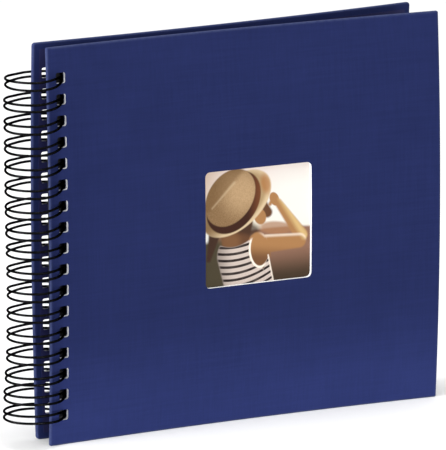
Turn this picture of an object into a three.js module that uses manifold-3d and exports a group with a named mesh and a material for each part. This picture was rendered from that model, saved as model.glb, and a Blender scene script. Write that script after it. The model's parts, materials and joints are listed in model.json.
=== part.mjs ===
// A spiral-bound scrapbook album, standing closed: two cloth-covered boards and a stack of card
// leaves, all punched along one edge and hung on a twin-loop wire. The front cover has a square
// window with a print behind it.
//
// Millimetres, +Z up. The front cover faces -Y, the wire spine is at -X and the fore-edge at +X.
// The album is drawn around the wire's own axis and moved at the end, so that the origin is the
// middle of its footprint. Every sheet turns about the wire's axis, so its holes stay on the wire.

import * as THREE from 'three';
import { mergeVertices } from 'three/addons/utils/BufferGeometryUtils.js';
import Module from 'manifold-3d';

// Driving dimensions
const COVER_WIDTH = 260; // spine edge to fore-edge
const COVER_HEIGHT = 240;
const COVER_SPLAY_DEG = 3.6; // how far the back cover stands open from the front cover
const SPINE_GAP = 14; // between the covers' inner faces, at the wire
const BOARD_THICKNESS = 2;
const CLOTH_THICKNESS = 0.3;
const CLOTH_TURN_IN = 15; // cloth folded over onto the inside of the board
const ENDPAPER_THICKNESS = 0.2;
const ENDPAPER_INSET = 4; // from the cover's edges
const GLUE_GAP = 0.1; // between the layers of a cover
const WINDOW_SIZE = 71;
const WINDOW_CORNER_RADIUS = 3;
const WINDOW_FROM_SPINE = 138.5; // spine edge to the window's middle
const PRINT_OVERLAP = 5; // print hidden behind each side of the window
const HOLE_PITCH = 12.7;
const HOLE_WIDTH = 6.2; // across the spine
const HOLE_HEIGHT = 6.4; // along the spine
const COVER_HOLE_INSET = 8.7; // a cover's spine edge to the middle of its holes
const LEAF_HOLE_INSET = 6.5;
const HOLE_END_MARGIN = 15; // least distance from a cover's end to its nearest hole
const WIRE_DIAMETER = 1.3;
const RING_RADIUS = 17; // the wire's centre line
const WIRE_CLEARANCE = 0.3; // between the wire and the side of a hole
const TIP_HALF_SPREAD = 1.45; // half the distance between the two wires of a loop, at its tip
const BEND_RADIUS = 2; // where the wire turns from one loop to the next
const LEAF_COUNT = 20;
const LEAF_THICKNESS = 0.35;
const LEAF_CLEARANCE = 1.5; // between the first leaf and the front cover, at the wire
const LEAF_FAN_DEG = 1; // from the first leaf to the last
const LEAF_END_INSET = 6; // leaf below the cover's top, and above its bottom
const LEAF_FORE_EDGE_INSET = 6;

// Worked out from them
const COVER_THICKNESS = ENDPAPER_THICKNESS + 2 * CLOTH_THICKNESS + BOARD_THICKNESS + 3 * GLUE_GAP;
const INNER_FACE = SPINE_GAP / 2; // from the wire's axis to a cover's inner face
const HOLE_COUNT = Math.floor((COVER_HEIGHT - 2 * HOLE_END_MARGIN) / HOLE_PITCH) + 1;
const FIRST_HOLE = (COVER_HEIGHT - (HOLE_COUNT - 1) * HOLE_PITCH) / 2;
const WIRE_RADIUS = WIRE_DIAMETER / 2;
const BASE_HALF_SPREAD = HOLE_HEIGHT / 2 - WIRE_RADIUS - WIRE_CLEARANCE;

const holeHeights = Array.from({ length: HOLE_COUNT }, (_, i) => FIRST_HOLE + i * HOLE_PITCH);

// Where a sheet's spine edge lies, from the wire's axis, when the sheet is offset from the axis.
// The wire runs just inside one side of its holes: the far side from its edge when side is 1, and
// the near side when side is -1.
function spineEdge(offset, side, holeInset) {
  const slope = Math.asin(offset / RING_RADIUS);
  const wire = RING_RADIUS * Math.cos(slope);
  const reach = WIRE_RADIUS / Math.cos(slope) + WIRE_CLEARANCE - HOLE_WIDTH / 2;
  return wire + side * reach - holeInset;
}

// The back cover's inner face stops the bends that join the loops. The leaves start beside the
// covers, and the last one stops where the wire turns aside.
const BEND_ANGLE = BEND_RADIUS / RING_RADIUS;
const BEND_FACE = INNER_FACE - WIRE_RADIUS - WIRE_CLEARANCE;
const SPLAY = THREE.MathUtils.degToRad(COVER_SPLAY_DEG);
const LEAF_FAN = THREE.MathUtils.degToRad(LEAF_FAN_DEG);
const BASE_ANGLE = Math.asin(BEND_FACE / RING_RADIUS) + SPLAY - BEND_ANGLE;
const STACK_FRONT = LEAF_CLEARANCE - INNER_FACE;
const STACK_BACK = RING_RADIUS * Math.sin(BASE_ANGLE - (SPLAY + LEAF_FAN) / 2);

// The covers are pulled in against the wire, and the leaves hang out from it.
const COVER_EDGE = spineEdge(INNER_FACE, 1, COVER_HOLE_INSET);
const LEAF_EDGE = spineEdge(STACK_FRONT, -1, LEAF_HOLE_INSET);

const wasm = await Module();
wasm.setup();

function toSolid(geometry) {
  const bare = geometry.clone();
  bare.deleteAttribute('normal');
  bare.deleteAttribute('uv');
  const merged = mergeVertices(bare, 1e-4);
  const vertProperties = new Float32Array(merged.attributes.position.array);
  const triVerts = new Uint32Array(merged.index.array);
  return new wasm.Manifold(new wasm.Mesh({ numProp: 3, vertProperties, triVerts }));
}

function toGeometry(solid) {
  const mesh = solid.getMesh();
  const geometry = new THREE.BufferGeometry();
  geometry.setAttribute('position', new THREE.BufferAttribute(mesh.vertProperties, 3));
  geometry.setIndex(new THREE.BufferAttribute(mesh.triVerts, 1));
  geometry.computeVertexNormals();
  return geometry;
}

function rectangle(path, left, bottom, width, height) {
  path.moveTo(left, bottom);
  path.lineTo(left + width, bottom);
  path.lineTo(left + width, bottom + height);
  path.lineTo(left, bottom + height);
  path.closePath();
  return path;
}

function roundedSquare(path, centreX, centreZ, side, radius) {
  const reach = side / 2 - radius;
  path.absarc(centreX + reach, centreZ + reach, radius, 0, Math.PI / 2);
  path.absarc(centreX - reach, centreZ + reach, radius, Math.PI / 2, Math.PI);
  path.absarc(centreX - reach, centreZ - reach, radius, Math.PI, 1.5 * Math.PI);
  path.absarc(centreX + reach, centreZ - reach, radius, 1.5 * Math.PI, 2 * Math.PI);
  path.closePath();
  return path;
}

// A sheet in the XZ plane, from y = near to y = near + thickness.
function sheet(outline, near, thickness) {
  const geometry = new THREE.ExtrudeGeometry(outline, {
    depth: thickness,
    bevelEnabled: false,
    curveSegments: 3,
  });
  geometry.rotateX(Math.PI / 2);
  geometry.translate(0, near + thickness, 0);
  return geometry;
}

function punch(outline, holeCentre) {
  const left = holeCentre - HOLE_WIDTH / 2;
  for (const z of holeHeights) {
    outline.holes.push(rectangle(new THREE.Path(), left, z - HOLE_HEIGHT / 2, HOLE_WIDTH, HOLE_HEIGHT));
  }
  return outline;
}

// A cover's outline, drawn in by inset from all four edges.
function coverOutline(inset) {
  const width = COVER_WIDTH - 2 * inset;
  return rectangle(new THREE.Shape(), COVER_EDGE + inset, inset, width, COVER_HEIGHT - 2 * inset);
}

function windowPath(Kind) {
  return roundedSquare(
    new Kind(),
    COVER_EDGE + WINDOW_FROM_SPINE,
    COVER_HEIGHT / 2,
    WINDOW_SIZE,
    WINDOW_CORNER_RADIUS,
  );
}

// The layers of a cover, each from its depth below the inner face. side is -1 for the front cover
// and 1 for the back cover.
const COVER_HOLES = COVER_EDGE + COVER_HOLE_INSET;
const PRINT_DEPTH = ENDPAPER_THICKNESS + GLUE_GAP; // the turned-in cloth lies at this depth too
const BOARD_DEPTH = PRINT_DEPTH + CLOTH_THICKNESS + GLUE_GAP;

function layer(outline, side, depth, thickness) {
  const near = side > 0 ? INNER_FACE + depth : -INNER_FACE - depth - thickness;
  return sheet(outline, near, thickness);
}

function board(side, windowed) {
  const outline = punch(coverOutline(CLOTH_THICKNESS + GLUE_GAP), COVER_HOLES);
  if (windowed) {
    outline.holes.push(windowPath(THREE.Path));
  }
  return layer(outline, side, BOARD_DEPTH, BOARD_THICKNESS);
}

// The cloth covers the outside, folds over all four edges and is turned in on the inside. The
// holes are punched through it, and the window is cut out of its outside.
function cloth(side, windowed) {
  const wrapThickness = COVER_THICKNESS - PRINT_DEPTH;
  const hollow = BOARD_THICKNESS + 2 * GLUE_GAP;
  const through = COVER_THICKNESS + 2;
  const inside = layer(coverOutline(CLOTH_THICKNESS), side, PRINT_DEPTH + CLOTH_THICKNESS, hollow);
  let wrap = toSolid(layer(coverOutline(0), side, PRINT_DEPTH, wrapThickness));
  wrap = wrap.subtract(toSolid(inside));
  wrap = wrap.subtract(toSolid(layer(coverOutline(CLOTH_TURN_IN), side, 0, BOARD_DEPTH)));
  for (const hole of punch(coverOutline(0), COVER_HOLES).holes) {
    const punched = new THREE.Shape(hole.getPoints());
    wrap = wrap.subtract(toSolid(layer(punched, side, -1, through)));
  }
  if (windowed) {
    wrap = wrap.subtract(toSolid(layer(windowPath(THREE.Shape), side, BOARD_DEPTH, through)));
  }
  return toGeometry(wrap);
}

function endpaper(side) {
  return layer(punch(coverOutline(ENDPAPER_INSET), COVER_HOLES), side, 0, ENDPAPER_THICKNESS);
}

function print() {
  const size = WINDOW_SIZE + 2 * PRINT_OVERLAP;
  const left = COVER_EDGE + WINDOW_FROM_SPINE - size / 2;
  const outline = rectangle(new THREE.Shape(), left, COVER_HEIGHT / 2 - size / 2, size, size);
  return layer(outline, -1, PRINT_DEPTH, CLOTH_THICKNESS);
}

// The wire is one length, bent into narrow loops that are rolled round into rings. Each loop runs
// from its base, between the last leaf and the back cover, through the sheets, round the spine and
// in through the back cover to a closed tip beside the base. Neighbouring loops are joined at
// their bases.
const RING_STEPS = 14;
const TIP_STEPS = 4;
const BEND_STEPS = 2;
const TIP_ANGLE = BASE_ANGLE + BEND_ANGLE + 2 * WIRE_DIAMETER / RING_RADIUS - 2 * Math.PI;

function onRing(angle, z) {
  return new THREE.Vector3(RING_RADIUS * Math.cos(angle), RING_RADIUS * Math.sin(angle), z);
}

// Half the distance between a loop's two wires. They close up beyond the front of the ring.
function halfSpread(angle) {
  const narrowing = THREE.MathUtils.smoothstep(-angle, Math.PI / 2, 1.5 * Math.PI);
  return THREE.MathUtils.lerp(BASE_HALF_SPREAD, TIP_HALF_SPREAD, narrowing);
}

function wirePoints() {
  const points = [];
  const arc = (z, side, outward) => {
    for (let i = 0; i <= RING_STEPS; i++) {
      const share = outward ? i / RING_STEPS : 1 - i / RING_STEPS;
      const angle = THREE.MathUtils.lerp(BASE_ANGLE, TIP_ANGLE, share);
      points.push(onRing(angle, z + side * halfSpread(angle)));
    }
  };
  holeHeights.forEach((z, index) => {
    arc(z, -1, true);
    for (let i = 1; i < TIP_STEPS; i++) {
      const turn = (Math.PI * i) / TIP_STEPS;
      const along = (TIP_HALF_SPREAD * Math.sin(turn)) / RING_RADIUS;
      points.push(onRing(TIP_ANGLE - along, z - TIP_HALF_SPREAD * Math.cos(turn)));
    }
    arc(z, 1, false);
    if (index === HOLE_COUNT - 1) {
      return;
    }
    const leave = z + BASE_HALF_SPREAD + BEND_RADIUS;
    const arrive = z + HOLE_PITCH - BASE_HALF_SPREAD - BEND_RADIUS;
    for (let i = 1; i <= BEND_STEPS; i++) {
      const turn = (Math.PI / 2) * (i / BEND_STEPS);
      points.push(onRing(BASE_ANGLE + BEND_ANGLE * Math.sin(turn), leave - BEND_RADIUS * Math.cos(turn)));
    }
    for (let i = 0; i < BEND_STEPS; i++) {
      const turn = (Math.PI / 2) * (i / BEND_STEPS);
      points.push(onRing(BASE_ANGLE + BEND_ANGLE * Math.cos(turn), arrive + BEND_RADIUS * Math.sin(turn)));
    }
  });
  return points;
}

// A path that an extrusion follows from point to point, one step to each.
class PointPath extends THREE.Curve {
  constructor(points) {
    super();
    this.points = points;
  }

  getPoint(t) {
    const place = t * (this.points.length - 1);
    const index = Math.min(Math.floor(place), this.points.length - 2);
    return this.points[index].clone().lerp(this.points[index + 1], place - index);
  }

  getPointAt(u) {
    return this.getPoint(u);
  }

  getTangentAt(u) {
    const step = 0.5 / (this.points.length - 1);
    const before = this.getPoint(Math.max(u - step, 0));
    const after = this.getPoint(Math.min(u + step, 1));
    return after.sub(before).normalize();
  }

  getSpacedPoints(divisions) {
    return Array.from({ length: divisions + 1 }, (_, i) => this.getPoint(i / divisions));
  }
}

function twinLoopWire() {
  const points = wirePoints();
  const section = new THREE.Shape();
  section.absarc(0, 0, WIRE_RADIUS, 0, 2 * Math.PI);
  return new THREE.ExtrudeGeometry(section, {
    steps: points.length - 1,
    extrudePath: new PointPath(points),
    curveSegments: 3,
  });
}

// A leaf, offset from the wire's axis by its place in the stack.
const LEAF_PITCH = (STACK_BACK - STACK_FRONT - LEAF_THICKNESS) / (LEAF_COUNT - 1);
const LEAF_WIDTH = COVER_EDGE + COVER_WIDTH - LEAF_FORE_EDGE_INSET - LEAF_EDGE;

function leaf(index) {
  const height = COVER_HEIGHT - 2 * LEAF_END_INSET;
  const outline = rectangle(new THREE.Shape(), LEAF_EDGE, LEAF_END_INSET, LEAF_WIDTH, height);
  const near = STACK_FRONT + index * LEAF_PITCH;
  return sheet(punch(outline, LEAF_EDGE + LEAF_HOLE_INSET), near, LEAF_THICKNESS);
}

const bookcloth = new THREE.MeshStandardMaterial({ color: 0x2a3362, roughness: 0.75 });
const greyboard = new THREE.MeshStandardMaterial({ color: 0xe8e6e0, roughness: 0.9 });
const endpaperStock = new THREE.MeshStandardMaterial({ color: 0x1a1c2e, roughness: 0.9 });
const photoPaper = new THREE.MeshStandardMaterial({ color: 0xc9a37c, roughness: 0.35 });
const blackWire = new THREE.MeshStandardMaterial({ color: 0x0b0b0c, roughness: 0.3, metalness: 0.4 });
const blackCard = new THREE.MeshStandardMaterial({ color: 0x121213, roughness: 0.9 });

function addPiece(group, name, geometry, material) {
  const mesh = new THREE.Mesh(geometry, material);
  mesh.name = name;
  group.add(mesh);
}

// A group whose sheets are turned about the wire's axis.
function turned(angle) {
  const group = new THREE.Group();
  group.rotation.z = angle;
  return group;
}

const album = new THREE.Group();

const frontCover = turned(0);
addPiece(frontCover, 'front_cover_board', board(-1, true), greyboard);
addPiece(frontCover, 'front_cover_cloth', cloth(-1, true), bookcloth);
addPiece(frontCover, 'front_endpaper', endpaper(-1), endpaperStock);
addPiece(frontCover, 'cover_print', print(), photoPaper);
album.add(frontCover);

const backCover = turned(SPLAY);
addPiece(backCover, 'back_cover_board', board(1, false), greyboard);
addPiece(backCover, 'back_cover_cloth', cloth(1, false), bookcloth);
addPiece(backCover, 'back_endpaper', endpaper(1), endpaperStock);
album.add(backCover);

addPiece(album, 'twin_loop_wire', twinLoopWire(), blackWire);

for (let i = 0; i < LEAF_COUNT; i++) {
  const share = i / (LEAF_COUNT - 1) - 0.5;
  const place = turned(SPLAY / 2 + LEAF_FAN * share);
  addPiece(place, `leaf_${String(i + 1).padStart(2, '0')}`, leaf(i), blackCard);
  album.add(place);
}

// Put the origin under the middle of the whole album.
const box = new THREE.Box3().setFromObject(album, true);
const middle = box.getCenter(new THREE.Vector3());
album.position.set(-middle.x, -middle.y, -box.min.z);

export default album;
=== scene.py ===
import json
from math import asin, atan2, cos, degrees, hypot, pi, radians, sin

import bmesh
import bpy
from mathutils import Matrix, Vector


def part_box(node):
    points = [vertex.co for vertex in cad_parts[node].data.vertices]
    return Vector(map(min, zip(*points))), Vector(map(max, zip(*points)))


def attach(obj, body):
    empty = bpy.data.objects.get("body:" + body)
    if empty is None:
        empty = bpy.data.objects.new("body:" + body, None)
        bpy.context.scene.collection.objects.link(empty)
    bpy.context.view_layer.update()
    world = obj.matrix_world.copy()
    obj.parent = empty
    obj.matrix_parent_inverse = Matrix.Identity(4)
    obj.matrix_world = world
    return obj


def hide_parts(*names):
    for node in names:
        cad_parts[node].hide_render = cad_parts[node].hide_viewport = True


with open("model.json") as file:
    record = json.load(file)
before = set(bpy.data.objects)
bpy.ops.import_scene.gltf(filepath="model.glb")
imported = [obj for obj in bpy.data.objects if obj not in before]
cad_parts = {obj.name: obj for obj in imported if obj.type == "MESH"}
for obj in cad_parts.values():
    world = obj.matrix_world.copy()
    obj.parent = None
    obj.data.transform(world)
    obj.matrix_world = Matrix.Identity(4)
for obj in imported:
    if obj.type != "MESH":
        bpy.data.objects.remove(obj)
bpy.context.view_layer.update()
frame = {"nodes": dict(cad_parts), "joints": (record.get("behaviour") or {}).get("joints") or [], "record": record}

# Where the frame has things. Metres throughout.
wireAxis = Vector(frame["joints"][0]["pos_m"])  # every sheet turns about the wire's own axis
clothLow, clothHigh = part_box("front_cover_cloth")
paperLow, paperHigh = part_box("front_endpaper")
printLow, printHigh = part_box("cover_print")
backOut = next(Vector(m["axis"]) for m in frame["record"]["mounts"] if m["name"] == "back_face")

# Camera: fitted to the album's outline, so it stands well back with a long lens.
camera = {
    "lens": 446.2,
    "distance": 3.325,
    "azimuth": radians(-26.44),
    "elevation": radians(12.68),
    "roll": radians(-0.17),
    "sensor": 36,
    "farthest": 50,
    "aimFromSpine": 0.11455,  # the point looked at, from the front cover's spine edge
    "aimHeight": 0.12266,
}

aim = Vector((clothLow.x + camera["aimFromSpine"], clothLow.y, camera["aimHeight"]))
azimuth, elevation = camera["azimuth"], camera["elevation"]
level = cos(elevation)
backwards = Vector((sin(azimuth) * level, -cos(azimuth) * level, sin(elevation)))
view = bpy.data.cameras.new("albumCamera")
view.lens = camera["lens"]
view.sensor_width = camera["sensor"]
view.clip_end = camera["farthest"]
viewer = bpy.data.objects.new("albumCamera", view)
bpy.context.scene.collection.objects.link(viewer)
turned = (-backwards).to_track_quat("-Z", "Y").to_matrix().to_4x4()
turned = turned @ Matrix.Rotation(camera["roll"], 4, "Z")
viewer.matrix_world = Matrix.Translation(aim + backwards * camera["distance"]) @ turned
bpy.context.scene.camera = viewer
print("camera set")


# shader sums

class Field:  # a value, colour or vector that varies over a surface: one socket of a material
    def __init__(self, tree, socket=None):
        self.tree = tree
        self.socket = socket

    def node(self, kind, settings, inputs, output=0):
        made = self.tree.nodes.new("ShaderNode" + kind)
        for name, value in settings.items():
            setattr(made, name, value)
        for name, value in inputs.items():
            if isinstance(value, Field):
                self.tree.links.new(value.socket, made.inputs[name])
            else:
                made.inputs[name].default_value = value
        return Field(self.tree, made.outputs[output])

    def math(self, operation, *others):
        return self.node("Math", {"operation": operation}, dict(enumerate((self, *others))))

    def __add__(self, other):
        return self.math("ADD", other)

    def __sub__(self, other):
        return self.math("SUBTRACT", other)

    def __rsub__(self, other):
        return self.node("Math", {"operation": "SUBTRACT"}, {0: other, 1: self})

    def __mul__(self, other):
        return self.math("MULTIPLY", other)

    def __truediv__(self, other):
        return self.math("DIVIDE", other)

    def __pow__(self, other):
        return self.math("POWER", other)

    def parts(self):  # x, y and z of a vector
        return [self.node("SeparateXYZ", {}, {0: self}, k) for k in range(3)]

    def fade(self, start, end, low=0.0, high=1.0):  # smoothly from low to high
        settings = {"interpolation_type": "SMOOTHSTEP"}
        inputs = {"Value": self, "From Min": start, "From Max": end, "To Min": low, "To Max": high}
        return self.node("MapRange", settings, inputs)

    def noise(self, scale, detail=2.0, stretch=(1.0, 1.0, 1.0)):  # self is a place; 0 to 1
        spread = self.node("Mapping", {}, {"Vector": self, "Scale": stretch})
        return self.node("TexNoise", {}, {"Vector": spread, "Scale": scale, "Detail": detail})

    def mix(self, first, second):  # self is how much of the second colour shows
        names = {0: self, 6: first, 7: second}
        rgba = {k: (*v, 1.0) if isinstance(v, tuple) else v for k, v in names.items()}
        return self.node("Mix", {"data_type": "RGBA"}, rgba, 2)


def newFinish(name, **constants):  # a material, its shader, and places on the object
    material = bpy.data.materials.new(name)
    material.use_nodes = True
    tree = material.node_tree
    shader = tree.nodes["Principled BSDF"]
    for socket, value in constants.items():
        shader.inputs[socket].default_value = value
    return material, shader, Field(tree).node("TexCoord", {}, {}, "Object")


def feed(shader, **fields):
    for name, value in fields.items():
        socket = {"colour": "Base Color", "roughness": "Roughness", "normal": "Normal"}[name]
        value.tree.links.new(value.socket, shader.inputs[socket])


def bump(height, strength, distance):
    return height.node("Bump", {}, {"Height": height, "Strength": strength, "Distance": distance})


# finishes

def makeBookcloth():
    weave = {
        "pitch": 0.00046,  # one thread
        "deep": (0.0088, 0.0153, 0.0740),
        "light": (0.0148, 0.0232, 0.1040),
        # the edge colour: rubbed wear together with a painted highlight where the rounded edges catch the light
        "wornAndPaintedSheen": (0.0390, 0.0510, 0.1240),
        "relief": 0.00009,
    }
    material, shader, place = newFinish(
        "navyBookcloth",
        **{"Sheen Weight": 0.02, "Sheen Roughness": 0.5, "Specular IOR Level": 0.12},
    )
    x, y, z = place.parts()
    across = (x - y) * (pi / weave["pitch"])
    up = (z + y) * (pi / weave["pitch"])
    warp = across.math("SINE")
    weft = up.math("SINE")
    over = warp.math("ABSOLUTE") * weft.math("ABSOLUTE")  # a bump where two threads cross
    side = (warp * weft).fade(-0.4, 0.4)  # which of the two lies on top
    lying = place.noise(900.0, 2.0, (0.035, 0.035, 1.0))
    standing = place.noise(900.0, 2.0, (1.0, 1.0, 0.035))
    slubs = lying * 0.5 + standing * 0.5
    blotches = place.noise(26.0, 4.0)
    tone = over * 0.22 + side * 0.12 + (slubs - 0.5) * 1.1 + (blotches - 0.5) * 0.5 + 0.36
    # the edges are painted lighter, partly as rubbed wear and partly as a painted highlight along the rounded
    # edges
    edgeRubAndSheen = place.node("Attribute", {"attribute_name": "edgeRubAndSheen"}, {}, "Fac")
    wearAndPaintedSheen = edgeRubAndSheen * place.noise(420.0, 3.0).fade(0.25, 0.65, 0.4, 1.0)
    cloth = tone.fade(0.0, 1.0).mix(weave["deep"], weave["light"])
    feed(
        shader,
        colour=(wearAndPaintedSheen * 0.8).mix(cloth, weave["wornAndPaintedSheen"]),
        roughness=0.9 - over * 0.14,
        normal=bump(over + slubs * 0.6, 0.55, weave["relief"]),
    )
    return material


def makeGreyboard():
    material, shader, place = newFinish("paleGreyboard", **{"Specular IOR Level": 0.3})
    fibres = place.noise(1500.0, 4.0, (1.0, 1.0, 0.25))
    layers = place.noise(2600.0, 1.0, (0.05, 1.0, 0.05))  # the board's thin plies, on its cut walls
    tone = fibres * 0.5 + layers * 0.5
    feed(
        shader,
        colour=tone.fade(0.25, 0.75).mix((0.82, 0.83, 0.85), (0.94, 0.94, 0.95)),
        roughness=fibres.fade(0.2, 0.8, 0.86, 0.96),
        normal=bump(tone, 0.5, 0.00008),
    )
    return material


def makePaper(name, dark, light, speck):
    material, shader, place = newFinish(name, **{"Specular IOR Level": 0.35})
    grain = place.noise(700.0, 5.0)
    fibres = place.noise(speck, 3.0, (1.0, 1.0, 0.2))
    tone = grain * 0.5 + fibres * 0.5
    feed(
        shader,
        colour=tone.fade(0.3, 0.72).mix(dark, light),
        roughness=grain.fade(0.3, 0.7, 0.72, 0.9),
        normal=bump(tone, 0.4, 0.00005),
    )
    return material


def makeWireCoat():
    black = (0.0, 0.0, 0.0, 1.0)  # at the rims, so that a pale room doesn't thin the wire
    material, shader, place = newFinish(
        "blackWireCoat",
        **{"Metallic": 1.0, "Specular Tint": black},
    )
    dapple = place.noise(600.0, 3.0)
    feed(
        shader,
        colour=dapple.fade(0.3, 0.8).mix((0.0045, 0.0045, 0.0050), (0.0095, 0.0095, 0.0105)),
        roughness=dapple.fade(0.25, 0.75, 0.20, 0.32),
        normal=bump(dapple, 0.25, 0.00004),
    )
    return material


# The print behind the window: a made-up snapshot of someone seen from behind in a straw hat and a
# striped vest, looking out over sand. Places are shares of the window's side, from its lower left.
picture = {
    "side": 0.071,
    "tone": 0.84,  # how deeply it is printed
    "skyLow": (0.93, 0.80, 0.56),
    "skyHigh": (0.94, 0.80, 0.74),
    "glare": (1.0, 0.98, 0.92),
    "sand": (0.30, 0.155, 0.10),
    "shade": (0.052, 0.032, 0.016),
    "olive": (0.075, 0.058, 0.030),
    "skin": (0.46, 0.225, 0.085),
    "skinDark": (0.15, 0.062, 0.026),
    "skinLit": (0.80, 0.56, 0.24),
    "straw": (0.44, 0.29, 0.135),
    "strawDark": (0.21, 0.110, 0.040),
    "strawLit": (0.78, 0.59, 0.36),
    "ribbon": (0.050, 0.014, 0.006),
    "hair": (0.060, 0.026, 0.014),
    "vest": (0.72, 0.60, 0.53),
    "stripe": (0.016, 0.008, 0.007),
    "trim": (1.20, 1.05, 0.88),
    "haze": (0.62, 0.42, 0.26),
    "dune": (0.44, 0.21, 0.10),
    "crownLit": (0.62, 0.41, 0.22),
    "brimWarm": (0.47, 0.19, 0.055),
    "ribbonLit": (0.30, 0.095, 0.030),
}


def makePicture():
    colours = {k: v for k, v in picture.items() if isinstance(v, tuple)}
    tint = {k: tuple(c * picture["tone"] for c in v) for k, v in colours.items()}
    side = picture["side"]
    material, shader, place = newFinish(
        "snapshotPrint",
        **{"Specular IOR Level": 0.12, "Coat Weight": 0.03, "Coat Roughness": 0.2},
    )
    middle = (printLow + printHigh) / 2
    x, _, z = place.parts()
    u = (x - (middle.x - side / 2)) / side
    v = (z - (middle.z - side / 2)) / side
    flat = place.node("CombineXYZ", {}, {0: u, 1: v})

    def local(cu, cv, ru, rv, turn):
        inputs = {"Location": (cu, cv, 0), "Rotation": (0, 0, radians(turn)), "Scale": (ru, rv, 1)}
        return flat.node("Mapping", {"vector_type": "TEXTURE"}, {"Vector": flat, **inputs})

    def oval(cu, cv, ru, rv, turn=0.0, soft=0.04):
        inside = {0: local(cu, cv, ru, rv, turn)}
        away = flat.node("VectorMath", {"operation": "LENGTH"}, inside, "Value")
        return away.fade(1.0 - soft, 1.0 + soft, 1.0, 0.0)

    def limb(u0, v0, u1, v1, start, end, soft=0.012):
        reach = hypot(u1 - u0, v1 - v0)
        slant = atan2(v1 - v0, u1 - u0) * 180 / pi
        along, off, _ = local(u0, v0, reach, reach, slant).parts()
        near = along.node("Clamp", {}, {"Value": along})
        away = ((along - near) ** 2.0 + off * off).math("SQRT") * reach
        gap = away - (near * (end - start) + start)
        return gap.fade(-soft, soft, 1.0, 0.0)

    def both(first, second):
        return first.math("MAXIMUM", second)

    # the sky, the haze on the horizon and the sand in front
    paint = v.fade(0.5, 1.0).mix(tint["skyLow"], tint["skyHigh"])
    paint = (oval(0.86, 0.66, 0.42, 0.30, 0, 0.6) * 0.9).mix(paint, tint["glare"])
    paint = (u.fade(0.30, 0.0) * v.fade(0.6, 1.0) * 0.55).mix(paint, tint["haze"])
    ground = v + (u - 0.6) * (u - 0.6) * 0.12
    paint = ground.fade(0.475, 0.445).mix(paint, tint["sand"])
    paint = (v.fade(0.30, 0.02) * 0.95).mix(paint, tint["shade"])
    paint = (u.fade(0.50, 0.16) * v.fade(0.46, 0.36)).mix(paint, tint["olive"])
    paint = (oval(0.02, 0.435, 0.07, 0.045, 0, 0.5)).mix(paint, tint["glare"])
    paint = (oval(0.68, 0.455, 0.16, 0.055, -8, 0.25) * 0.8).mix(paint, tint["dune"])

    # the neck, the plait and the side of the head under the brim
    paint = limb(0.572, 0.665, 0.600, 0.595, 0.030, 0.045, 0.012).mix(paint, tint["skinDark"])
    paint = oval(0.53, 0.565, 0.055, 0.07, 20, 0.12).mix(paint, tint["skin"])
    paint = limb(0.30, 0.52, 0.30, 0.38, 0.16, 0.13).mix(paint, tint["skinDark"])
    paint = (oval(0.25, 0.38, 0.09, 0.070, -12, 0.5) * 0.25).mix(paint, tint["skin"])
    paint = limb(0.10, 0.46, 0.045, 0.24, 0.055, 0.020).mix(paint, tint["hair"])
    paint = (limb(0.37, 0.50, 0.47, 0.45, 0.065, 0.050, 0.03) * 0.85).mix(paint, tint["hair"])

    # the raised arm: shoulder, upper arm, forearm and hand
    shoulder = both(
        oval(0.52, 0.28, 0.105, 0.155, 12, 0.08),
        limb(0.56, 0.325, 0.90, 0.322, 0.078, 0.062),
    )
    paint = shoulder.mix(paint, tint["skin"])
    paint = (shoulder * (v + u * 0.15).fade(0.42, 0.27) * 0.85).mix(paint, tint["skinDark"])
    forearm = limb(0.915, 0.37, 0.70, 0.67, 0.060, 0.033)
    paint = forearm.mix(paint, tint["skin"])
    hand = both(
        oval(0.665, 0.705, 0.042, 0.062, 25, 0.10),
        limb(0.665, 0.73, 0.625, 0.665, 0.022, 0.016),
    )
    paint = hand.mix(paint, tint["skin"])
    lit = limb(0.955, 0.36, 0.725, 0.70, 0.030, 0.016, 0.03) * both(forearm, hand)
    paint = (lit * 0.9).mix(paint, tint["skinLit"])
    below = both(
        oval(0.517, 0.269, 0.105, 0.155, 12, 0.10),
        limb(0.56, 0.313, 0.90, 0.310, 0.078, 0.062, 0.02),
    )
    ridge = shoulder * (1.0 - below) * u.fade(0.50, 0.60) * v.fade(0.30, 0.36)
    paint = (ridge * 0.9).mix(paint, tint["trim"])

    # the striped vest, with pale trim round the neck and the arm-hole
    body = both(
        limb(0.30, 0.26, 0.43, -0.10, 0.172, 0.205),
        limb(0.606, 0.20, 0.585, -0.05, 0.010, 0.075, 0.008),
    )
    body = body * (v - (u - 0.27) * (u - 0.27) * 1.9).fade(0.335, 0.318)
    armhole = oval(0.525, 0.285, 0.088, 0.150, 4, 0.05)
    vest = body * (1.0 - armhole)
    bands = ((v - (u - 0.27) * (u - 0.27) * 0.75) / 0.0565 - 0.22).math("FRACT")
    bands = (bands - 0.5).math("ABSOLUTE").fade(0.25, 0.15)
    folds = place.noise(90.0, 2.0).fade(0.3, 0.7, 0.95, 1.1)
    paint = vest.mix(paint, tint["vest"])
    paint = (vest * u.fade(0.10, 0.30, 0.55, 0.0)).mix(paint, tint["shade"])
    paint = (vest * bands * folds * 0.94).mix(paint, tint["stripe"])
    rimInside = oval(0.525, 0.285, 0.084, 0.146, 4, 0.06)
    rim = oval(0.525, 0.285, 0.102, 0.164, 4, 0.05) * (1.0 - rimInside)
    paint = (rim * u.fade(0.60, 0.56) * v.fade(0.40, 0.36)).mix(paint, tint["trim"])
    paint = (limb(0.606, 0.225, 0.655, 0.00, 0.006, 0.006, 0.006) * 0.75).mix(paint, tint["trim"])

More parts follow.
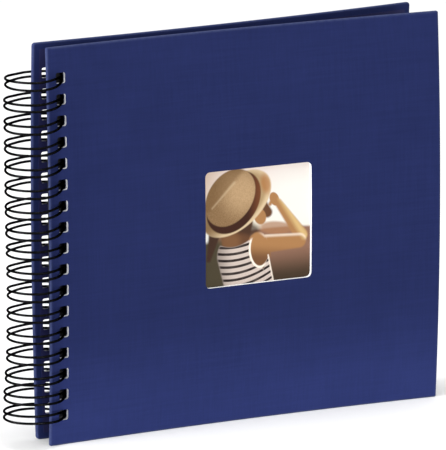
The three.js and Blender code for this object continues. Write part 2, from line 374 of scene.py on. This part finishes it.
    # the straw hat: brim, ribbon, crown and the pinch along its top
    lying = place.noise(2600.0, 3.0, (1.0, 1.0, 0.35))
    standing = place.noise(2600.0, 3.0, (0.35, 1.0, 1.0))
    straws = lying * 0.5 + standing * 0.5
    brim = oval(0.31, 0.70, 0.365, 0.222, 35, 0.03)
    paint = brim.mix(paint, tint["strawLit"])
    paint = (brim * oval(0.30, 0.705, 0.335, 0.200, 35, 0.10) * 0.85).mix(paint, tint["straw"])
    paint = (brim * oval(0.585, 0.845, 0.045, 0.085, 12, 0.5) * 0.75).mix(paint, tint["brimWarm"])
    paint = (brim * u.fade(0.20, 0.02) * v.fade(0.70, 0.50) * 0.85).mix(paint, tint["strawDark"])
    ribbon = oval(0.280, 0.712, 0.292, 0.224, 48, 0.03)
    paint = ribbon.mix(paint, tint["ribbon"])
    paint = (ribbon * u.fade(0.40, 0.56) * 0.6).mix(paint, tint["ribbonLit"])
    crown = oval(0.25, 0.755, 0.266, 0.209, 48, 0.03)
    shine = oval(0.36, 0.80, 0.17, 0.19, 40, 0.7)
    cap = (straws.fade(0.2, 0.8) * 0.45 + shine * 0.6).mix(tint["strawDark"], tint["crownLit"])
    cap = ((v - u).fade(0.56, 0.64) * 0.6).mix(cap, tint["strawDark"])
    cap = (limb(0.08, 0.68, 0.29, 0.88, 0.004, 0.009, 0.014) * 0.55).mix(cap, tint["strawLit"])
    paint = crown.mix(paint, cap)

    grain = place.noise(1800.0, 2.0)
    feed(shader, colour=paint, roughness=grain.fade(0.2, 0.8, 0.30, 0.38))
    return material


bookcloth = makeBookcloth()
greyboard = makeGreyboard()
navyPaper = makePaper("navyEndpaper", (0.0085, 0.0095, 0.0600), (0.0130, 0.0150, 0.0900), 1600.0)
blackCard = makePaper("blackCard", (0.0070, 0.0070, 0.0075), (0.0150, 0.0150, 0.0155), 1100.0)
wireCoat = makeWireCoat()
snapshot = makePicture()
print("finishes made")


# covers

cover = {
    "near": clothLow.x - wireAxis.x,  # spine edge, from the wire's axis
    "far": clothHigh.x - wireAxis.x,
    "height": clothHigh.z - clothLow.z,
    "outside": wireAxis.y - clothLow.y,
    "inside": wireAxis.y - paperHigh.y,
    "cloth": 0.0003,
    "clearance": 0.00002,  # between one layer and the next
    "turnIn": 0.015,
    "turnInRound": 0.0005,
    "paper": 0.0002,
    "paperGap": 0.0001,  # between the paper and the turned-in cloth
    "paperInset": paperLow.x - clothLow.x,
    "paperSink": 0.0002,  # the paper drops this far past the turned-in cloth
    "paperStep": (-0.0004, 0.0008),  # where it drops, from the edge of the turned-in cloth
    "paperRound": 0.0006,
    "printPaper": 0.00013,
    "edgeRound": 0.0009,
    "leastCorner": 0.0004,
    "holeFromEdge": 0.0087,
    "holeWide": 0.0062,
    "holeTall": 0.0064,
    "holeRound": 0.0012,
    "holePitch": 0.0127,
    "holes": 17,
    "window": picture["side"],
    "windowRound": 0.003,
    "grid": 0.010,
    "overcut": 0.002,  # how far a cutter stands out of what it cuts
    "rubAndSheenFrom": 0.0002,  # the cloth is rubbed at its edges and carries a painted highlight there, less and less over the width below
    "rubAndSheenWide": 0.0012,
    "spineShare": 0.75,  # how much of the upright bow is left at the wire, where the holes are
    "spineFade": 0.05,
}
frontCover = {
    "side": -1,  # outwards is towards -Y
    "turn": 0.0,
    "cornerRound": 0.0010,
    "barrel": 0.00436,  # the bow up the cover
    "dish": 0.0044,  # and across it, the other way
    "body": "front_cover",
}
backCover = {
    "side": 1,
    "turn": atan2(-backOut.x, backOut.y),
    "cornerRound": 0.0020,
    "barrel": 0.00393,
    "dish": 0.0047,
    "body": "back_cover",
}
coverWidth = cover["far"] - cover["near"]
firstHole = (cover["height"] - (cover["holes"] - 1) * cover["holePitch"]) / 2
holeMiddle = cover["near"] + cover["holeFromEdge"]
boardInside = cover["inside"] + cover["paper"] + cover["paperGap"]  # where the cloth is turned in
bevelSteps = 4
tiny = 1e-7


def smooth(value):
    held = min(max(value, 0.0), 1.0)
    return held * held * (3 - 2 * held)


def roundEdges(mesh, edges, radius):
    bmesh.ops.bevel(
        mesh, geom=edges, offset=radius, affect="EDGES", segments=bevelSteps, profile=0.5, material=-1
    )


def addBlock(mesh, side, depths, xs, zs, corner):  # depths run outwards from the wire's axis
    low = Vector((xs[0], min(side * d for d in depths), zs[0]))
    high = Vector((xs[1], max(side * d for d in depths), zs[1]))
    size = high - low
    place = Matrix.Translation((low + high) / 2) @ Matrix.Diagonal((*size, 1.0))
    made = bmesh.ops.create_cube(mesh, size=1.0, matrix=place)["verts"]
    edges = list(dict.fromkeys(e for v in made for e in v.link_edges))
    corners = [e for e in edges if abs(e.verts[0].co.y - e.verts[1].co.y) > size.y / 2]
    if corner:
        roundEdges(mesh, corners, corner)


def roundRims(mesh, radius):  # of a mesh that is still one block
    rims = [e for e in mesh.edges if abs(e.verts[0].co.y - e.verts[1].co.y) < tiny]
    roundEdges(mesh, rims, radius)


def cutGrid(mesh, extra=()):  # enough points for a bow, and a line close inside each edge
    count = {0: round(coverWidth / cover["grid"]), 2: round(cover["height"] / cover["grid"])}
    ends = {0: (cover["near"], cover["far"]), 2: (0.0, cover["height"])}
    for axis, (start, end) in ends.items():
        lines = [start + (end - start) * k / count[axis] for k in range(1, count[axis])]
        for inset in (cover["edgeRound"] * 1.6, *extra):
            lines += [start + inset, end - inset]
        normal = Vector((axis == 0, 0, axis == 2))
        for line in lines:
            geometry = mesh.verts[:] + mesh.edges[:] + mesh.faces[:]
            where = {"plane_co": normal * line, "plane_no": normal}
            bmesh.ops.bisect_plane(mesh, geom=geometry, dist=tiny, **where)


def newPiece(name, mesh):  # closes a bmesh into an object at the origin
    data = bpy.data.meshes.new(name)
    mesh.to_mesh(data)
    mesh.free()
    piece = bpy.data.objects.new(name, data)
    bpy.context.scene.collection.objects.link(piece)
    return piece


def sheetBlock(name, sheet, depths, inset, corner, rim=0.0, extra=()):
    mesh = bmesh.new()
    xs = (cover["near"] + inset, cover["far"] - inset)
    zs = (inset, cover["height"] - inset)
    addBlock(mesh, sheet["side"], depths, xs, zs, corner)
    if rim:
        roundRims(mesh, rim)
    cutGrid(mesh, extra)
    return newPiece(name, mesh)


def holeBlocks(sheet, window):
    mesh = bmesh.new()
    reach = (cover["inside"] - cover["overcut"], cover["outside"] + cover["overcut"])
    half = Vector((cover["holeWide"] / 2, 0, cover["holeTall"] / 2))
    for k in range(cover["holes"]):
        z = firstHole + k * cover["holePitch"]
        xs = (holeMiddle - half.x, holeMiddle + half.x)
        addBlock(mesh, sheet["side"], reach, xs, (z - half.z, z + half.z), cover["holeRound"])
    if window:
        middle = (printLow + printHigh) / 2 - wireAxis
        half = cover["window"] / 2
        xs = (middle.x - half, middle.x + half)
        zs = (cover["height"] / 2 - half, cover["height"] / 2 + half)
        addBlock(mesh, sheet["side"], reach, xs, zs, cover["windowRound"])
        cutGrid(mesh)
    return newPiece("holeCutter", mesh)


def carve(piece, cutters):
    for cutter in cutters:
        cut = piece.modifiers.new("cut", "BOOLEAN")
        cut.operation = "DIFFERENCE"
        cut.solver = "EXACT"
        cut.object = cutter
    shaped = piece.evaluated_get(bpy.context.evaluated_depsgraph_get())
    carved = bpy.data.meshes.new_from_object(shaped)
    piece.modifiers.clear()
    piece.data = carved
    for cutter in cutters:
        bpy.data.objects.remove(cutter)
    return piece


def bowOf(sheet, s, k):  # how far out the cover stands, at shares s of its width, k of its height
    away = smooth(s * coverWidth / cover["spineFade"])
    fade = cover["spineShare"] + (1 - cover["spineShare"]) * away
    return sheet["barrel"] * fade * 4 * k * (1 - k) - sheet["dish"] * 4 * s * (1 - s)


def settle(piece, sheet, sink=0.0):  # bows the flat sheet, then turns and moves it to its place
    data = piece.data
    # how much lighter each point is painted near the edges: rubbed wear plus a painted edge highlight
    edgeRubAndSheen = data.attributes.new("edgeRubAndSheen", "FLOAT", "POINT")
    stepStart, stepEnd = cover["paperStep"]
    turn = Matrix.Translation(wireAxis.xy.to_3d()) @ Matrix.Rotation(sheet["turn"], 4, "Z")
    for vertex in data.vertices:
        x, _, z = vertex.co
        s = (x - cover["near"]) / coverWidth
        k = z / cover["height"]
        toEdge = min(x - cover["near"], cover["far"] - x, z, cover["height"] - z)
        rubAndSheenShare = (toEdge - cover["rubAndSheenFrom"]) / cover["rubAndSheenWide"]
        edgeRubAndSheen.data[vertex.index].value = 1.0 - smooth(rubAndSheenShare)
        inwards = smooth((toEdge - cover["turnIn"] - stepStart) / (stepEnd - stepStart))
        bow = bowOf(sheet, min(max(s, 0), 1), min(max(k, 0), 1))
        vertex.co.y += sheet["side"] * (bow + sink * inwards)
        vertex.co = turn @ vertex.co


def finishPiece(piece, body, material, nodes, sharp=radians(38)):
    mesh = bmesh.new()
    mesh.from_mesh(piece.data)
    bmesh.ops.remove_doubles(mesh, verts=mesh.verts, dist=tiny)
    bmesh.ops.recalc_face_normals(mesh, faces=mesh.faces)
    mesh.to_mesh(piece.data)
    mesh.free()
    piece.data.materials.clear()
    piece.data.materials.append(material)
    piece.data.shade_smooth()
    piece.data.set_sharp_from_angle(angle=sharp)
    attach(piece, body)
    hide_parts(*nodes)
    print(piece.name, "made,", len(piece.data.polygons), "faces")


def makeCover(prefix, sheet, hasWindow):
    cloth, outside, corner = cover["cloth"], cover["outside"], sheet["cornerRound"]
    edgeRound, leastCorner = cover["edgeRound"], cover["leastCorner"]

    # the cloth goes round the board and is turned in on the inside
    depths = (boardInside, outside)
    wrap = sheetBlock(prefix + "CoverCloth", sheet, depths, 0.0, corner, edgeRound)
    depths = (boardInside + cloth, outside - cloth)
    hollowCorner = max(corner - cloth, leastCorner)
    hollow = sheetBlock("hollow", sheet, depths, cloth, hollowCorner, edgeRound - cloth)
    depths = (boardInside - cover["overcut"] / 2, boardInside + cloth * 1.5)
    opening = sheetBlock("opening", sheet, depths, cover["turnIn"], cover["turnInRound"])
    carve(wrap, [hollow, opening, holeBlocks(sheet, hasWindow)])
    settle(wrap, sheet)
    finishPiece(wrap, sheet["body"], bookcloth, [prefix + "_cover_cloth"])

    inset = cloth + cover["clearance"]
    depths = (boardInside + inset, outside - inset)
    boardCorner = max(corner - inset, leastCorner)
    board = sheetBlock(prefix + "CoverBoard", sheet, depths, inset, boardCorner, edgeRound - inset)
    carve(board, [holeBlocks(sheet, hasWindow)])
    settle(board, sheet)
    finishPiece(board, sheet["body"], greyboard, [prefix + "_cover_board"])

    depths = (cover["inside"], cover["inside"] + cover["paper"])
    step = [cover["turnIn"] + d for d in cover["paperStep"]]
    inset = cover["paperInset"]
    paper = sheetBlock(prefix + "Endpaper", sheet, depths, inset, cover["paperRound"], 0.0, step)
    carve(paper, [holeBlocks(sheet, False)])
    settle(paper, sheet, cover["paperSink"])
    finishPiece(paper, sheet["body"], navyPaper, [prefix + "_endpaper"])


makeCover("front", frontCover, True)
makeCover("back", backCover, False)

printed = bmesh.new()
printSpan = printLow - wireAxis, printHigh - wireAxis
behindBoard = boardInside + cover["cloth"]
depths = (behindBoard - cover["printPaper"], behindBoard)
xs = (printSpan[0].x, printSpan[1].x)
addBlock(printed, frontCover["side"], depths, xs, (printLow.z, printHigh.z), 0.0)
cutGrid(printed)
snapshotSheet = newPiece("windowPrint", printed)
settle(snapshotSheet, frontCover)
finishPiece(snapshotSheet, "front_cover", snapshot, ["cover_print"])
print("covers made")


# wire

wire = {
    "radius": 0.017,  # of the rings, to the wire's centre line
    "thick": 0.0015,
    "baseHalf": 0.00225,  # half a loop's width, where one loop meets the next
    "holeHalf": 0.00155,  # in the front cover's hole
    "tipHalf": 0.00145,  # and at the loop's tip, in the back cover
    "bend": 0.0020,
    "gap": 0.0003,
    "midShift": 0.0005,  # the rings halfway up sit a little nearer the leaves
    "holeDrop": 0.00095,  # the rings hang from the lower side of their holes
    "stepsPerTurn": 104,
    "sides": 3,
    "tipSteps": 8,
    "bendSteps": 6,
    "frontHalf": 0.00215,  # half a loop's width round the front and the spine
    "uneven": 0.00018,
    "unevenStep": 2.4,  # radians from one ring to the next
    # (ring, millimetres), rings counted from the lowest up: how far a ring's front and its back
    # hang below its holes, and how far it is drawn out at the spine
    "frontDrop": [(0, -0.4), (2, 2.0), (8, 2.1), (9.5, 3.7), (13, 3.5), (16, 2.7)],
    "backDrop": [(0, -0.2), (3, 2.0), (16, 2.1)],
    "drawnOut": [(0, 2.3), (4, -0.5), (6, -0.9), (10, -0.2), (15, -0.3), (16, -1.2)],
}


def through(knots, at):  # a smooth run through (place, value) pairs
    for (start, low), (end, high) in zip(knots, knots[1:]):
        if at <= end:
            return low + (high - low) * smooth((at - start) / (end - start))
    return knots[-1][1]


def wirePath():
    radius, bend = wire["radius"], wire["bend"]
    baseHalf, tipHalf, holeDrop = wire["baseHalf"], wire["tipHalf"], wire["holeDrop"]
    bendAngle = bend / radius
    clear = cover["inside"] - wire["thick"] / 2 - wire["gap"]
    start = asin(clear / radius) + backCover["turn"] - bendAngle
    tip = start + bendAngle + 2 * wire["thick"] / radius - 2 * pi
    base = -degrees(start)
    end = -degrees(tip)
    steps, tipSteps, bendSteps = wire["stepsPerTurn"], wire["tipSteps"], wire["bendSteps"]
    points = []

    def put(angle, z, drawnOut):
        up = z / cover["height"]
        x = radius * cos(angle) + wire["midShift"] * 4 * up * (1 - up)
        x += drawnOut * min(cos(angle), 0.0)
        points.append(Vector((wireAxis.x + x, wireAxis.y + radius * sin(angle), z)))

    for k in range(cover["holes"]):
        z = firstHole + k * cover["holePitch"]
        names = ("frontDrop", "backDrop", "drawnOut")
        front, back, out = (through(wire[name], k) / 1000 for name in names)
        wide = wire["frontHalf"] + wire["uneven"] * sin(wire["unevenStep"] * k)

        # (degrees round the ring, metres): from beside the back cover, through the front cover
        # and round the spine, to the tip in the back cover
        spread = [(base, baseHalf), (26, wire["holeHalf"]), (66, wide * 1.08), (112, wide)]
        spread += [(150, wide), (215, (wide + tipHalf) / 2), (270, tipHalf)]
        drop = [(base, 0.0), (24, min(front, holeDrop)), (106, front), (160, front)]
        drop += [(245, back * 1.2), (296, back * 0.75), (end, min(back * 0.5, holeDrop))]

        for way in (-1, 1):
            for i in range(steps + 1):
                share = i / steps if way < 0 else 1 - i / steps
                angle = start + (tip - start) * share
                half = through(spread, -degrees(angle))
                put(angle, z + way * half - through(drop, -degrees(angle)), out)
            if way < 0:
                for i in range(1, tipSteps):
                    turn = pi * i / tipSteps
                    height = z - tipHalf * cos(turn) - through(drop, end)
                    put(tip - tipHalf * sin(turn) / radius, height, out)
        if k == cover["holes"] - 1:
            continue
        leave = z + baseHalf + bend
        arrive = z + cover["holePitch"] - baseHalf - bend
        for i in range(1, bendSteps + 1):
            turn = pi / 2 * i / bendSteps
            put(start + bendAngle * sin(turn), leave - bend * cos(turn), 0.0)
        for i in range(bendSteps):
            turn = pi / 2 * i / bendSteps
            put(start + bendAngle * cos(turn), arrive + bend * sin(turn), 0.0)
    return points


route = wirePath()
line = bpy.data.curves.new("wireLine", "CURVE")
line.dimensions = "3D"
line.bevel_depth = wire["thick"] / 2
line.bevel_resolution = wire["sides"]
line.use_fill_caps = True
spline = line.splines.new("POLY")
spline.points.add(len(route) - 1)
for point, place in zip(spline.points, route):
    point.co = (*place, 1.0)
bentWire = bpy.data.objects.new("twinLoopWire", line)
bpy.context.scene.collection.objects.link(bentWire)
drawn = bentWire.evaluated_get(bpy.context.evaluated_depsgraph_get())
tube = bpy.data.meshes.new_from_object(drawn)
bpy.data.objects.remove(bentWire)
rings = bpy.data.objects.new("twinLoopWire", tube)
bpy.context.scene.collection.objects.link(rings)
finishPiece(rings, "back_cover", wireCoat, ["twin_loop_wire"], radians(60))
print("wire made")


# leaves

for name, node in frame["nodes"].items():
    if name.startswith("leaf_"):
        for slot in node.material_slots:
            slot.material = blackCard
print("leaves finished")


# studio

studio = {
    "floorSize": 14.0,
    "floorDark": (0.82, 0.82, 0.82),
    "floorLight": (0.84, 0.84, 0.84),
    "world": 1.0,
    "worldColour": (1.0, 1.0, 1.0, 1.0),
    "lights": [  # name, place, the height it is aimed at, width, height, spread in degrees, watts
        ("keyLight", (-2.75, -0.2, 0.8), 0.12, 1.0, 1.0, 180, 95.0),
        ("topLight", (0.0, -0.35, 2.4), 0.12, 0.5, 0.5, 180, 16.0),
        ("lowLight", (0.0, -0.36, 0.02), 0.0, 0.44, 0.02, 24, 0.07),
    ],
}

floorMesh = bmesh.new()
bmesh.ops.create_grid(floorMesh, x_segments=2, y_segments=2, size=studio["floorSize"] / 2)
floor = newPiece("studioFloor", floorMesh)
paleFloor, floorShader, floorPlace = newFinish("paleFloor", **{"Specular IOR Level": 0.1})
mottle = floorPlace.noise(3.0, 2.0)
feed(
    floorShader,
    colour=mottle.mix(studio["floorDark"], studio["floorLight"]),
    roughness=mottle.fade(0, 1, 0.9, 1.0),
)
floor.data.materials.append(paleFloor)

for name, place, target, width, height, spread, watts in studio["lights"]:
    lamp = bpy.data.lights.new(name, "AREA")
    lamp.shape = "RECTANGLE"
    lamp.size = width
    lamp.size_y = height
    lamp.spread = radians(spread)
    lamp.energy = watts
    stand = bpy.data.objects.new(name, lamp)
    bpy.context.scene.collection.objects.link(stand)
    aimed = (Vector((0, 0, target)) - Vector(place)).to_track_quat("-Z", "Y")
    stand.matrix_world = Matrix.Translation(place) @ aimed.to_matrix().to_4x4()

world = bpy.data.worlds.new("paleRoom")
bpy.context.scene.world = world
world.use_nodes = True
sky = world.node_tree.nodes["Background"].inputs
sky["Color"].default_value = studio["worldColour"]
sky["Strength"].default_value = studio["world"]
bpy.context.scene.view_settings.view_transform = "Standard"
print("studio lit")
